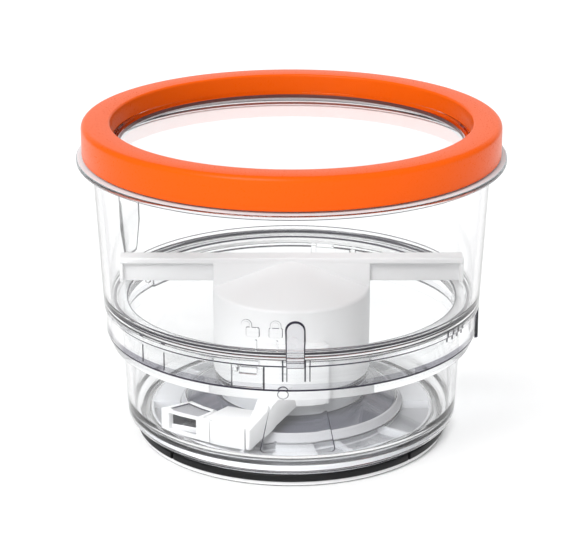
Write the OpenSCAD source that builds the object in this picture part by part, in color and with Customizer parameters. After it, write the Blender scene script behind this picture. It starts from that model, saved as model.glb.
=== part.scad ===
// Ice cream maker bowl: clear cup and upper bowl, driven dasher, lid with a window.
// The origin is the middle of the foot, +Z is up and the front faces -Y.

/* [Lid] */
// Outer radius of the lid ring
lid_r = 80; // [79.5:0.5:81]
// Radius of the opening in the lid ring
lid_hole_r = 69; // [67:0.5:70]
// Height of the top of the lid ring above the foot
lid_top_z = 125.7; // [125:0.1:127]
// Height of the lower edge of the lid ring above the foot
lid_skirt_z = 113.3; // [113:0.1:114]

/* [Bowl] */
// Radius of the flange below the lid
flange_r = 82.2; // [81:0.1:83]
// Outer radius of the bowl wall just under the flange
bowl_top_r = 76.2; // [75.5:0.1:76.5]
// Outer radius of the bowl wall at the shoulder
bowl_low_r = 73.4; // [73:0.1:74]
// Thickness of the clear walls
wall = 2.4; // [2:0.1:2.6]
// Height of the inner ledge above the foot
ledge_z = 56.7; // [56.5:0.1:57.5]

/* [Cup] */
// Outer radius of the cup wall at its rim
cup_r = 66.8; // [66:0.1:67]
// Height of the cup's rim above the foot
cup_rim_z = 53.8; // [53.5:0.1:54]
// Height of the top of the cup's floor above the foot
floor_z = 10.4; // [10:0.1:11]
// Radius of the cup's foot
foot_r = 60.5; // [60:0.1:61]
// Turn that frees the bowl from the cup
unlock_deg = 6.5; // [6:0.1:6.5]

/* [Dasher] */
// Outer radius of the dasher's hub
hub_r = 30.8; // [30.6:0.1:31.2]
// Height of the top of the hub's roof above the foot
apex_z = 70.2; // [69.8:0.1:70.3]
// Length of the mixing arm from tip to tip
arm_len = 135; // [125:1:138]
// Width of the top flange of the mixing arm
arm_w = 7.3; // [6:0.1:9]

/* [Drive] */
// Radius of the steel spindle
spindle_r = 4; // [3.8:0.1:4]
// Radius of the socket that the motor drives
socket_r = 6; // [5.5:0.1:6.5]

/* [Hidden] */
$fn = 96;

run_gap = 0.05;            // radial clearance of the spindle in its bushes
eps = 0.01;                // overlap that joins solids of one node

// cup
cup_low_r = 65;            // outer radius of the cup wall near the floor
floor_t = 2.2;
floor_under_z = floor_z - floor_t;
column_r = 28.2;           // outer radius of the clear centre column
column_top_z = 50;
column_low_r = 30.2;       // radius of the column's wide foot, flush with the hub
column_step_z = 24.4;      // height of the step between the column's foot and its top
cone_r = 42.8;             // outer radius of the shallow cone round the column
cone_z0 = 14;
cone_z1 = 16;
groove_r = 58.9;           // bottom of the groove that holds the foot seal
groove_z0 = 1.8;
groove_z1 = 5.1;
foot_in_r = 56.6;
rim_flange_r = 69.2;
rim_flange_t = 2.2;
rim_under_z = cup_rim_z - rim_flange_t;
seal_bore_r = 7.5;

// bayonet
lock_az = [-13, 85, 161, 233];     // angles of the locking shelves, from the front towards +X
shelf_deg = 5.4;
notch_deg = 6.6;
shelf_z0 = 48.6;
shelf_z1 = rim_under_z - 0.3;
skirt_r = 72.6;
skirt_in_r = skirt_r - 2;
skirt_low_z = 39.2;
shoulder_z = 52.6;

// bowl
rim_r = 76.2;              // outer radius of the bowl's rim inside the lid
rim_in_r = 73.8;
rim_top_z = 120.4;
flange_z0 = 110.8;
flange_z1 = 112.6;
ledge_in_r = 64.1;
ledge_t = 1.7;
seal_z0 = cup_rim_z + 0.1;
seal_z1 = ledge_z - ledge_t;

// lid
window_z0 = 116.4;
window_z1 = 118.2;
window_r = 68.6;

// base insert
plate_z0 = 2.5;
plate_z1 = 4.9;
plate_r = 56.2;
drum_r = 41.4;
drum_top_z = 11.6;
liner_r = 25.7;
liner_low_r = 27.7;        // radius of the liner inside the column's foot
liner_z0 = 13.7;
ramp_w = 25;               // width of the ramp at the front of the drum
ramp_top_z = floor_under_z - 0.2;
insert_wall = 2;
insert_top_z = 47.2;
mouth_r = 20;
rib_count = 10;
screw_r = 17;
screw_az = [45, 135, 225, 315];
tube_r = 9;
bush_r = 6.5;
tube_low_z = 21;
bush_len = 9;

// spindle
hex_af = 6.9;
spindle_z0 = 14;
round_top_z = 52;
spindle_top_z = 62.4;
clip_z0 = 50.6;
clip_z1 = 51.4;
clip_groove_r = 3.2;
coupling_r = 13;
coupling_z0 = 2.8;
coupling_z1 = 19.4;
pin_z = 16.6;
pin_r = 1;

// dasher
hub_low_z = 25.5;
hub_shoulder_z = 58.4;
hub_wall = 1.9;
boss_r = 7;
insert_r = 5.4;
insert_z0 = 52.6;
insert_z1 = 64.4;
arm_top_z = 70.4;
arm_flange_t = 2.3;
arm_web_z = 60.4;
arm_web_t = 2.6;
arm_end_t = 1.4;
arm_screw_x = 15;
leg_r = hub_r + 3.4;
leg_az = 2.5;
leg_deg = 44;
leg_z0 = 21.3;
leg_z1 = 45.6;
tip_az = -18.5;            // angle of the plough's foremost edge
tip_r = 55;
seam_az = -34.3;           // where the scoop meets the plough
blade_end_az = -57;
blade_z0 = 10.9;
blade_z1 = 20;
plough_t = 1.8;
blade_tab_z = 16.2;
blade_pin_r = 1;
blade_pin_at_r = 48.5;
blade_pin_az = [-34, -37.6];

// Puts its children at an angle from the front, turning towards +X.
module at(az) {
    rotate([0, 0, az - 90]) children();
}

// A ring of constant section between two radii and two heights.
module ring(r_in, r_out, z0, z1) {
    translate([0, 0, z0])
        difference() {
            cylinder(r = r_out, h = z1 - z0);
            translate([0, 0, -1]) cylinder(r = r_in, h = z1 - z0 + 2);
        }
}

// Part of a ring, width degrees wide, centred on an angle from the front.
module ring_part(r_in, r_out, z0, z1, az, width) {
    at(az) rotate([0, 0, -width / 2])
        rotate_extrude(angle = width)
            translate([r_in, z0]) square([r_out - r_in, z1 - z0]);
}

// Points of an arc in the section plane, from angle a0 to a1 in steps.
function arc(cx, cz, r, a0, a1, n = 6) =
    [for (i = [0 : n]) let (a = a0 + (a1 - a0) * i / n) [cx + r * cos(a), cz + r * sin(a)]];

// Outer radius of the bowl's wall at a height.
function bowl_r(z) = bowl_low_r + (bowl_top_r - bowl_low_r) * (z - shoulder_z) / (flange_z0 - shoulder_z);

// Outer radius of the cup's wall at a height.
function cup_wall_r(z) = cup_low_r + (cup_r - cup_low_r) * (z - 12) / (rim_under_z - 12);

// ---- cup body ----

module cup_profile() {
    polygon(concat(
        [[foot_in_r, 0], [foot_r, 0], [foot_r, groove_z0], [groove_r, groove_z0],
         [groove_r, groove_z1], [62.4, groove_z1]],
        arc(cup_low_r - 4.6, 9.7, 4.6, -60, 0),
        [[cup_wall_r(rim_under_z), rim_under_z], [rim_flange_r, rim_under_z], [rim_flange_r, cup_rim_z],
         [cup_r - wall, cup_rim_z]],
        arc(cup_low_r - wall - 5.2, floor_z + 5.2, 5.2, 0, -90),
        [[cone_r + 1.2, floor_z], [cone_r, cone_z0], [column_low_r, cone_z1], [column_low_r, column_step_z - 0.8],
         [column_low_r - 0.8, column_step_z], [column_r, column_step_z],
         [column_r, column_top_z - 1.5], [column_r - 1.5, column_top_z], [seal_bore_r, column_top_z],
         [seal_bore_r, column_top_z - floor_t], [column_r - floor_t, column_top_z - floor_t],
         [column_r - floor_t, column_step_z - floor_t], [column_low_r - floor_t, column_step_z - floor_t],
         [column_low_r - floor_t, cone_z1 - floor_t - 0.1], [cone_r - 1, cone_z0 - floor_t - 0.1],
         [cone_r - 1, floor_under_z], [foot_in_r, floor_under_z]]
    ));
}

module grip_panel() {
    intersection() {
        ring(cup_low_r - 1, cup_low_r + 1.6, 15.6, 37);
        at(2) rotate([90, 0, 90])
            translate([0, 0, 50])
                linear_extrude(30)
                    polygon([[-13.7, 15], [13.7, 15], [9.7, 38], [-9.7, 38]]);
    }
}

module lock_notches() {
    for (az = lock_az)
        ring_part(cup_r + 0.4, rim_flange_r + 1, rim_under_z - 1, cup_rim_z + 1, az + unlock_deg, notch_deg);
}

// Stops beside each shelf, which end the bowl's turn at both ends.
module lock_stops() {
    for (az = lock_az) {
        ring_part(cup_r - 1, rim_flange_r - 0.4, shelf_z0, rim_under_z + 0.5, az - shelf_deg / 2 - 1.6, 1.8);
        ring_part(cup_r - 1, rim_flange_r - 0.4, shelf_z0, rim_under_z + 0.5,
                  az + unlock_deg + shelf_deg / 2 + 1.6, 1.8);
    }
}

module cup() {
    color([0.86, 0.9, 0.92, 0.35]) {
        difference() {
            rotate_extrude() cup_profile();
            lock_notches();
            for (a = screw_az)
                rotate([0, 0, a]) translate([screw_r, 0, column_top_z - floor_t - 1]) cylinder(r = 1.2, h = 2.4);
        }
        lock_stops();
        grip_panel();
        at(-3) translate([cup_wall_r(41) - 0.6, 0, 41]) rotate([0, 90, 0]) cylinder(r = 1.8, h = 1);
    }
}

module foot_seal() {
    color([0.06, 0.06, 0.07])
        rotate_extrude()
            polygon([[groove_r, groove_z0 + 0.1], [foot_r + 0.3, groove_z0 + 0.1], [foot_r + 0.9, groove_z0 + 0.8],
                     [foot_r + 0.9, groove_z1 - 0.6], [foot_r + 0.3, groove_z1 - 0.1], [groove_r, groove_z1 - 0.1]]);
}

module insert_profile() {
    polygon([
        [mouth_r, plate_z0], [plate_r, plate_z0], [plate_r, plate_z1], [drum_r, plate_z1],
        [drum_r, drum_top_z], [liner_low_r - 1, liner_z0 - 0.05], [mouth_r, liner_z0 - 0.05],
        [mouth_r, liner_z0 - insert_wall], [liner_low_r - 2, liner_z0 - insert_wall],
        [drum_r - insert_wall, drum_top_z - insert_wall], [drum_r - insert_wall, plate_z1], [mouth_r, plate_z1]
    ]);
}

// Sloping pocket wall at the front of the drum.
module front_ramp() {
    at(1.5) translate([0, ramp_w / 2, 0]) rotate([90, 0, 0])
        linear_extrude(ramp_w)
            polygon([[drum_r - 1.5, plate_z1 - 1], [plate_r - 1.5, plate_z1 - 1], [plate_r - 1.5, plate_z1 + 0.6],
                     [drum_r + 1.2, ramp_top_z], [drum_r - 1.5, ramp_top_z]]);
}

// White plate under the cup's floor, with a drum round the drive and radial ribs.
module base_insert() {
    color([0.94, 0.94, 0.95]) {
        rotate_extrude() insert_profile();
        front_ramp();
        for (i = [0 : rib_count - 1])
            rotate([0, 0, (i + 0.5) * 360 / rib_count - 90])
                translate([drum_r - 0.5, -0.7, plate_z1 - eps])
                    cube([plate_r - drum_r - 1, 1.4, floor_under_z - 0.1 - plate_z1]);
    }
}

// White tube inside the column that holds the spindle's bushes.
module bearing_housing() {
    color([0.94, 0.94, 0.95])
        difference() {
            union() {
                rotate_extrude()
                    polygon([
                        [liner_low_r - insert_wall, liner_z0], [liner_low_r, liner_z0],
                        [liner_low_r, column_step_z - floor_t - 0.1], [liner_r, column_step_z - floor_t - 0.1],
                        [liner_r, insert_top_z], [tube_r - 1, insert_top_z], [tube_r - 1, insert_top_z - insert_wall],
                        [liner_r - insert_wall, insert_top_z - insert_wall],
                        [liner_r - insert_wall, column_step_z - floor_t - insert_wall],
                        [liner_low_r - insert_wall, column_step_z - floor_t - insert_wall]
                    ]);
                ring(bush_r, tube_r, tube_low_z, insert_top_z);
            }
            for (a = screw_az)
                rotate([0, 0, a]) translate([screw_r, 0, insert_top_z - 4]) cylinder(r = 1.7, h = 6);
        }
}

module base_screws() {
    color([0.7, 0.7, 0.72])
        for (a = screw_az)
            rotate([0, 0, a]) translate([screw_r, 0, 0]) {
                translate([0, 0, insert_top_z - insert_wall - 1.6]) cylinder(r = 2.8, h = 1.6);
                translate([0, 0, insert_top_z - insert_wall - eps]) cylinder(r = 1.15, h = 3.8);
            }
}

module lower_bush() {
    color([0.85, 0.82, 0.7]) ring(spindle_r + run_gap, bush_r, tube_low_z, tube_low_z + bush_len);
}

module upper_bush() {
    color([0.85, 0.82, 0.7]) ring(spindle_r + run_gap, bush_r, insert_top_z - bush_len, insert_top_z);
}

module shaft_seal() {
    color([0.15, 0.15, 0.16])
        ring(spindle_r + run_gap, seal_bore_r, column_top_z - floor_t, column_top_z);
}

// ---- bowl body ----

module bowl_profile() {
    polygon([
        [bowl_r(flange_z0), flange_z0], [flange_r, flange_z0], [flange_r, flange_z1], [rim_r, flange_z1],
        [rim_r, rim_top_z - 0.6], [rim_r - 0.6, rim_top_z], [rim_in_r + 0.6, rim_top_z],
        [rim_in_r, rim_top_z - 0.6], [bowl_r(flange_z0) - wall, flange_z0 - 2], [bowl_low_r - wall, ledge_z],
        [ledge_in_r, ledge_z], [ledge_in_r, seal_z1], [skirt_in_r, seal_z1], [skirt_in_r, skirt_low_z],
        [skirt_r - 1.8, skirt_low_z], [skirt_r, skirt_low_z + 2.8], [skirt_r, shoulder_z],
        [bowl_r(shoulder_z), shoulder_z + 0.8]
    ]);
}

// A padlock symbol, body and shackle, in the plane of the wall.
module padlock(open) {
    square([5, 4], center = true);
    translate([open ? -2.2 : 0, 2.4])
        difference() {
            circle(r = 2.1, $fn = 32);
            circle(r = 1.3, $fn = 32);
            translate([-3, -6]) square([6, 5]);
        }
}

// Puts a flat outline on the outside of the wall, standing out by 0.3.
module on_wall(az, z) {
    at(az) translate([bowl_r(z) - 0.7, 0, z]) rotate([90, 0, 90]) linear_extrude(1) children();
}

module front_tab() {
    on_tab_r = bowl_r(60);
    at(1) {
        translate([on_tab_r - 0.8, -3.8, 47]) cube([2, 7.6, 20]);
        translate([on_tab_r - 0.8, 0, 67]) rotate([0, 90, 0]) cylinder(r = 3.8, h = 2);
    }
}

module lock_shelves() {
    for (az = lock_az) {
        ring_part(cup_r + 0.8, skirt_in_r + 0.5, shelf_z0, shelf_z1, az, shelf_deg);
        ring_part(rim_flange_r + 0.5, skirt_in_r + 0.5, skirt_low_z + 4.5, shelf_z1, az, shelf_deg);
    }
}

module bowl() {
    color([0.88, 0.92, 0.94, 0.3]) {
        rotate_extrude() bowl_profile();
        lock_shelves();
        front_tab();
        on_wall(-10.8, 67.5) padlock(true);
        on_wall(-4.4, 67.5) padlock(false);
        on_wall(-10.8, 61.5) square([0.7, 4], center = true);
        on_wall(-4.4, 61.5) square([0.7, 4], center = true);
    }
}

module bowl_seal() {
    color([0.75, 0.77, 0.78])
        ring(ledge_in_r + 0.4, rim_flange_r - 1.2, seal_z0 + 0.1, seal_z1);
}

// ---- lid body ----

module lid_ring() {
    color([1, 0.42, 0.05])
        rotate_extrude()
            polygon(concat(
                [[77.6, lid_skirt_z], [lid_r, lid_skirt_z]],
                arc(lid_r - 2, lid_top_z - 2, 2, 0, 90),
                [[lid_hole_r + 0.8, lid_top_z], [lid_hole_r, lid_top_z - 0.8], [window_r, window_z1],
                 [window_r, window_z0], [window_r - 2, window_z0], [window_r - 2, window_z0 - 1],
                 [lid_hole_r + 2, window_z0 - 1], [lid_hole_r + 2, lid_top_z - 2.4], [77.6, lid_top_z - 2.4]]
            ));
}

module lid_window() {
    color([0.92, 0.94, 0.96, 0.25])
        translate([0, 0, window_z0]) cylinder(r = window_r, h = window_z1 - window_z0);
}

module lid_seal() {
    color([0.8, 0.8, 0.8])
        ring(72.4, 77.4, rim_top_z + 0.4, lid_top_z - 2.4);
}

// ---- spindle body ----

module spindle() {
    color([0.75, 0.76, 0.78])
        difference() {
            union() {
                translate([0, 0, spindle_z0]) cylinder(r = spindle_r, h = round_top_z - spindle_z0);
                translate([0, 0, round_top_z - eps])
                    cylinder(r = hex_af / 2 / cos(30), h = spindle_top_z - round_top_z, $fn = 6);
            }
            ring(clip_groove_r, spindle_r + 1, clip_z0, clip_z1);
            translate([0, 0, pin_z]) rotate([0, 90, 0]) cylinder(r = pin_r, h = 20, center = true);
        }
}

module drive_coupling() {
    color([0.1, 0.1, 0.11])
        difference() {
            translate([0, 0, coupling_z0]) cylinder(r = coupling_r, h = coupling_z1 - coupling_z0);
            translate([0, 0, coupling_z0 - 1]) cylinder(r = socket_r, h = spindle_z0 - coupling_z0 + 1);
            translate([0, 0, spindle_z0 - 1]) cylinder(r = spindle_r, h = 10);
            for (a = [90, 210, 330])
                rotate([0, 0, a]) translate([0, -1.2, coupling_z0 - 1]) cube([socket_r + 2.5, 2.4, 10.5]);
            translate([0, 0, pin_z]) rotate([0, 90, 0]) cylinder(r = pin_r, h = 40, center = true);
        }
}

module coupling_pin() {
    color([0.7, 0.7, 0.72])
        translate([0, 0, pin_z]) rotate([0, 90, 0]) cylinder(r = pin_r, h = 2 * coupling_r - 2, center = true);
}

module thrust_washer() {
    color([0.8, 0.8, 0.8]) ring(spindle_r, 8.4, coupling_z1 + 0.3, tube_low_z - 0.3);
}

module retaining_clip() {
    color([0.6, 0.6, 0.62])
        difference() {
            ring(clip_groove_r, 6.4, clip_z0, clip_z1);
            translate([0, -clip_groove_r, clip_z0 - 1]) cube([10, 2 * clip_groove_r, 3]);
        }
}

// ---- dasher body ----

module hub_solid(r, z0, shoulder, apex) {
    translate([0, 0, z0]) cylinder(r = r, h = shoulder - z0);
    translate([0, 0, shoulder - eps]) cylinder(r1 = r, r2 = 0.6, h = apex - shoulder);
}

module dasher_hub() {
    color([0.97, 0.97, 0.97])
        difference() {
            union() {
                difference() {
                    hub_solid(hub_r, hub_low_z, hub_shoulder_z, apex_z);
                    translate([0, 0, -hub_wall]) hub_solid(hub_r - hub_wall, hub_low_z, hub_shoulder_z, apex_z);
                }
                intersection() {
                    translate([0, 0, insert_z0]) cylinder(r = boss_r, h = 20);
                    hub_solid(hub_r, hub_low_z, hub_shoulder_z, apex_z);
                }
            }
            translate([0, 0, insert_z0 - 1]) cylinder(r = insert_r, h = insert_z1 - insert_z0 + 1);
            for (s = [-1, 1])
                translate([s * arm_screw_x, 0, hub_shoulder_z - 6]) cylinder(r = 1.3, h = 20);
        }
}

module drive_insert() {
    color([0.3, 0.3, 0.32])
        difference() {
            translate([0, 0, insert_z0]) cylinder(r = insert_r, h = insert_z1 - insert_z0);
            translate([0, 0, insert_z0 - 1])
                cylinder(r = (hex_af / 2 + 0.15) / cos(30), h = insert_z1 - insert_z0, $fn = 6);
        }
}

// Beam over the hub: flange and web outside the hub, full width over its roof.
module mixing_arm() {
    web_h = arm_top_z - arm_flange_t - arm_web_z;
    color([0.97, 0.97, 0.97])
        difference() {
            union() {
                translate([-arm_len / 2, -arm_w / 2, arm_top_z - arm_flange_t]) cube([arm_len, arm_w, arm_flange_t]);
                translate([-arm_len / 2, -arm_web_t / 2, arm_web_z]) cube([arm_len, arm_web_t, web_h + 1]);
                translate([-hub_r, -arm_w / 2, hub_shoulder_z]) cube([2 * hub_r, arm_w, arm_top_z - hub_shoulder_z - 1]);
                for (x = [-arm_len / 2, arm_len / 2 - arm_end_t])
                    translate([x, -arm_w / 2 + 0.6, arm_web_z]) cube([arm_end_t, arm_w - 1.2, web_h + 1]);
            }
            hub_solid(hub_r, hub_low_z, hub_shoulder_z, apex_z);
            for (s = [-1, 1])
                translate([s * arm_screw_x, 0, hub_shoulder_z]) cylinder(r = 0.9, h = arm_top_z - hub_shoulder_z - 1.2);
        }
}

module arm_screws() {
    color([0.7, 0.7, 0.72])
        for (s = [-1, 1])
            translate([s * arm_screw_x, 0, 0]) {
                translate([0, 0, 58.6]) cylinder(r = 2.2, h = 1.5);
                translate([0, 0, 60]) cylinder(r = 0.9, h = 8.6);
            }
}

// A flat-topped solid over points given as [angle from the front, radius].
module slab(points, z0, z1) {
    translate([0, 0, z0])
        linear_extrude(z1 - z0)
            polygon([for (p = points) [p[1] * sin(p[0]), -p[1] * cos(p[0])]]);
}

// A wall that follows [angle, radius] points on its outside.
module curved_wall(points, t, z0, z1) {
    n = len(points);
    slab(concat(points, [for (i = [1 : n]) [points[n - i][0], points[n - i][1] - t]]), z0, z1);
}

module pin_holes(r) {
    for (az = blade_pin_az)
        at(az) translate([blade_pin_at_r, 0, blade_tab_z - 1]) cylinder(r = r, h = 6);
}

// Leg on the hub, then a web out to the tip and a box-shaped plough behind it.
module scraper() {
    color([0.97, 0.97, 0.97]) {
        ring_part(hub_r, leg_r, leg_z0, leg_z1, leg_az, leg_deg);
        hull() {
            slab([[-18, leg_r - 1.2], [4, leg_r - 1.2], [4, leg_r + 3], [-18, leg_r + 3]],
                 leg_z0 + 0.5, leg_z0 + 9);
            slab([[tip_az + 0.4, tip_r - 2.6], [tip_az + 2, tip_r - 2.6], [tip_az + 2, tip_r - 0.3],
                  [tip_az + 0.4, tip_r - 0.3]], blade_z0 + 0.2, blade_z1 - 0.5);
        }
        difference() {
            union() {
                curved_wall([[tip_az, tip_r], [-27, tip_r - 0.6], [seam_az, tip_r - 0.8]], 2, blade_z0, blade_z1);
                slab([[tip_az, tip_r], [-27, tip_r - 0.6], [-39, tip_r - 1.6], [-39, leg_r + 4.4],
                      [-28, leg_r + 3.4], [-12, leg_r + 2.4]], blade_z1 - plough_t, blade_z1);
            }
            slab([[seam_az, tip_r + 2], [-41, tip_r + 2], [-41, tip_r - 2.8], [seam_az, tip_r - 2.8]],
                 blade_z0 - 1, blade_z1 + 1);
            pin_holes(blade_pin_r);
        }
    }
}

// Far end of the plough: a scoop with an open window, on a tab under the plough's top.
module scraper_blade() {
    color([0.95, 0.95, 0.95])
        difference() {
            union() {
                curved_wall([[seam_az - 0.2, tip_r - 0.8], [-39, tip_r - 0.6], [-48, tip_r + 1.2],
                             [blade_end_az, tip_r + 3.6]], 2, blade_z0, blade_z1);
                slab([[-39.4, tip_r - 1.8], [-48, tip_r], [blade_end_az, tip_r + 2.4], [blade_end_az, 46],
                      [-39.4, 44]], blade_z1 - plough_t, blade_z1);
                curved_wall([[-39.4, 45.6], [blade_end_az, 47.4]], 1.6, blade_z0 + 1.6, blade_z1);
                slab([[seam_az + 3, tip_r - 3.2], [-42, tip_r - 3], [-42, 45], [seam_az + 3, 45]],
                     blade_tab_z, blade_z1 - plough_t - 0.05);
            }
            slab([[-40.5, tip_r - 3.4], [-40.5, tip_r + 6], [-53, tip_r + 9], [-53, tip_r - 1]],
                 blade_z0 + 2.2, blade_z1 - plough_t + 0.2);
            pin_holes(blade_pin_r);
        }
}

module blade_pins() {
    color([0.9, 0.9, 0.9])
        for (az = blade_pin_az)
            at(az) translate([blade_pin_at_r, 0, blade_tab_z]) cylinder(r = blade_pin_r, h = blade_z1 - blade_tab_z);
}

cup();
foot_seal();
base_insert();
bearing_housing();
base_screws();
lower_bush();
upper_bush();
shaft_seal();
bowl();
bowl_seal();
lid_ring();
lid_window();
lid_seal();
spindle();
drive_coupling();
coupling_pin();
thrust_washer();
retaining_clip();
dasher_hub();
drive_insert();
mixing_arm();
arm_screws();
scraper();
scraper_blade();
blade_pins();
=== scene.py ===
"""Looks of the ice cream maker bowl: clear plastic cup and bowl, white dasher, orange lid."""
import math

import bmesh
import bpy
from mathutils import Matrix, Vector

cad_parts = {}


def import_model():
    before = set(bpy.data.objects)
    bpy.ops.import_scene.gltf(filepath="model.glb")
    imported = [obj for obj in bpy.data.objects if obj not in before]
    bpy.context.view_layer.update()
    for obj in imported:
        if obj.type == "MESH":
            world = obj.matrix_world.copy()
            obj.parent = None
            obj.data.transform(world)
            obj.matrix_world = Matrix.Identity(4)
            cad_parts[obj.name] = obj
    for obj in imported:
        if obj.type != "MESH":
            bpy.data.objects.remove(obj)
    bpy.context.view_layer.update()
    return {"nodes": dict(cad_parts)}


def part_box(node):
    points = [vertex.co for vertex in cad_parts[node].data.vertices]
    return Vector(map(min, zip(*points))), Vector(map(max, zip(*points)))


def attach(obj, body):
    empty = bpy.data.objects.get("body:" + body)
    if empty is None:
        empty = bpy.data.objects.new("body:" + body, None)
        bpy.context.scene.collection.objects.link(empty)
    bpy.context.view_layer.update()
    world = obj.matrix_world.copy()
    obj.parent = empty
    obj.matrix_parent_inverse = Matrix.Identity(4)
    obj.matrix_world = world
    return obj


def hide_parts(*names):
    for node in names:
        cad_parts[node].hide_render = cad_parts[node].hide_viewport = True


MM = 0.001
TURN = 224                      # steps round a turned piece

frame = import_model()


# ---------------------------------------------------------------- sizes from the frame

def top(node):
    """Height of a node's highest point, in mm."""
    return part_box(node)[1][2] / MM


def low(node):
    """Height of a node's lowest point, in mm."""
    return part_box(node)[0][2] / MM


def radius(node):
    """Largest radius of a turned node, in mm."""
    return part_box(node)[1][0] / MM


LID_R = 80.0
LID_IN_R = 77.6                 # inside of the lid's skirt
LID_HOLE_R = 69
LID_CHANNEL_R = 71              # inner side of the channel under the lid's top
LID_SEAT_R = 66.6               # inside of the seat under the window
LID_T = 2.4
LID_TOP = top("lid_ring")
LID_LOW = low("lid_ring")
WINDOW_R = 68.6
WINDOW_TOP = top("lid_window")
WINDOW_LOW = low("lid_window")
PANE_DROP = 1.45                # from the window's rim down to its pane
LIP_R = 65.6                    # inside of the window's rim
WALL = 2.4
FLANGE_R = radius("bowl")
FLANGE_LOW = LID_LOW - 2.5
FLANGE_TOP = LID_LOW - 0.7
RIM_R = 76.2
RIM_TOP = top("bowl")
BOWL_LOW_R = 73.4
LEDGE = 56.7
LEDGE_LOW = LEDGE - 1.7
LEDGE_IN_R = 64.1
LEDGE_STEP_R = 69.0
SHOULDER = 52.6
SKIRT_R = 72.6
SKIRT_IN_R = 70.6
SKIRT_LOW = low("bowl")
SKIRT_LINES = (                 # thin ribs inside the skirt: angle, lower end, upper end, width in degrees
    (-50.6, 44, 51, 0.3), (-41.1, 44, 51, 0.25), (-17.8, 43, 52.5, 0.2), (-8.1, 43, 52.5, 0.5),
    (-2.6, 46.5, 54.9, 0.45), (-1.4, 46.5, 54.9, 0.3), (3.9, 46.5, 54.9, 0.45), (5.3, 46.5, 54.9, 0.3),
    (54, 50.5, 54.9, 0.5), (57, 50.5, 54.9, 0.5), (60, 50.5, 54.9, 0.5), (63, 50.5, 54.9, 0.5),
)
TAB_AZ = 1.0                    # middle of the front tab
PANEL_AZ = 245.5                # middle of the raised panel at the rear left
LUG_AZ = 85.0                   # middle of the lug at the right
CUP_TOP = top("cup")
CUP_FLANGE_R = radius("cup")
CUP_UNDER = CUP_TOP - 2.2
CUP_R = 66.8
CUP_LOW_R = 65.0
FLOOR = 10.4
FLOOR_UNDER = 8.2
FLOOR_T = 2.2
FOOT_TOP_R = 61.0               # where the foot's groove meets the cup's belly
SEAL_BORE_R = 7.5
FOOT_R = 60.5
FOOT_IN_R = 56.6
GROOVE_R = 58.9
GROOVE_LOW = 1.8
GROOVE_TOP = 5.1
CONE_R = 42.8
CONE_LOW = 14.0
CONE_TOP = 16.0
COLUMN_FOOT_R = 30.2
COLUMN_STEP = 24.4
COLUMN_R = 28.2
COLUMN_TOP = 50.0
DRUM_R = 41.4
DRUM_TOP = 11.6
DRUM_ROOF = 9.6                 # underside of the drum's top, at its edge
LINER_TOP = 13.6                # top of the drum where it meets the column
LINER_R = 25.7
MOUTH_R = 20                    # mouth of the drive well
PLATE_R = 56.2
RIM_IN_R = 54.9                 # inside of the plate's rim
RIB_AZ = (-162, -128, -90, -54, -20, 24, 54, 90, 128, 162)
SECTOR_AZ = (109, -109)         # middles of the two raised sectors
HUB_R = radius("dasher_hub")
HUB_LOW = low("dasher_hub")
HUB_SHOULDER = 58.4
HUB_APEX = top("dasher_hub")
SHELF_LOW = 48.6
SHELF_TOP = CUP_UNDER - 0.3
LOCKS = (-13, 85, 161, 233)     # angles of the locking shelves from the front
UNLOCK = 6.5                    # turn that frees the bowl
NOTCH = 6.6                     # width of a notch in the cup's flange, in degrees
ARM_HALF = radius("mixing_arm")
ARM_TOP = top("mixing_arm")
ARM_LOW = 60.4
ARM_HALF_W = 3.65
ARM_FLANGE_T = 2.3
LEG_R = HUB_R + 3.4
LEG_LOW = 21.3
LEG_TOP = 45.6
TIP_R = 55.0
TIP_AZ = -18.5                  # foremost edge of the plough
SEAM_AZ = -34.3                 # where the scoop meets the plough
SCOOP_AZ = -57.0                # far end of the scoop
BLADE_LOW = low("scraper_blade")
BLADE_TOP = top("scraper_blade")


def bowl_r(z):
    """Outer radius of the bowl's wall at a height."""
    return BOWL_LOW_R + (RIM_R - BOWL_LOW_R) * (z - SHOULDER) / (FLANGE_LOW - SHOULDER)


def cup_r(z):
    """Outer radius of the cup's wall at a height."""
    return CUP_LOW_R + (CUP_R - CUP_LOW_R) * (z - 12) / (CUP_UNDER - 12)


# ---------------------------------------------------------------- mesh helpers

def new_object(name, mesh, body, replaces, material, sharp=35):
    """Links a mesh as a piece that rides on a body and stands for CAD nodes."""
    for polygon in mesh.polygons:
        polygon.use_smooth = True
    mesh.set_sharp_from_angle(angle=math.radians(sharp))
    piece = bpy.data.objects.new(name, mesh)
    bpy.context.collection.objects.link(piece)
    piece.data.materials.append(material)
    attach(piece, body)
    if replaces:
        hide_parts(*replaces)
    return piece


def rounded(points, fillets, steps=5):
    """A closed outline with its corners rounded. fillets gives one radius a point, 0 for a sharp corner."""
    out = []
    n = len(points)
    for i, radius_i in enumerate(fillets):
        here = Vector(points[i])
        before = Vector(points[i - 1]) - here
        after = Vector(points[(i + 1) % n]) - here
        angle = before.angle(after)
        if radius_i <= 0 or angle > math.radians(176):
            out.append(tuple(here))
            continue
        reach = min(radius_i / math.tan(angle / 2), 0.49 * before.length, 0.49 * after.length)
        r = reach * math.tan(angle / 2)
        start = here + before.normalized() * reach
        centre = here + (before.normalized() + after.normalized()).normalized() * (r / math.sin(angle / 2))
        first = start - centre
        sweep = math.pi - angle
        turn = before.x * after.y - before.y * after.x
        side = 1 if turn < 0 else -1
        for k in range(steps + 1):
            a = side * sweep * k / steps
            c, s = math.cos(a), math.sin(a)
            out.append((centre.x + first.x * c - first.y * s, centre.y + first.x * s + first.y * c))
    return out


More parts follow.
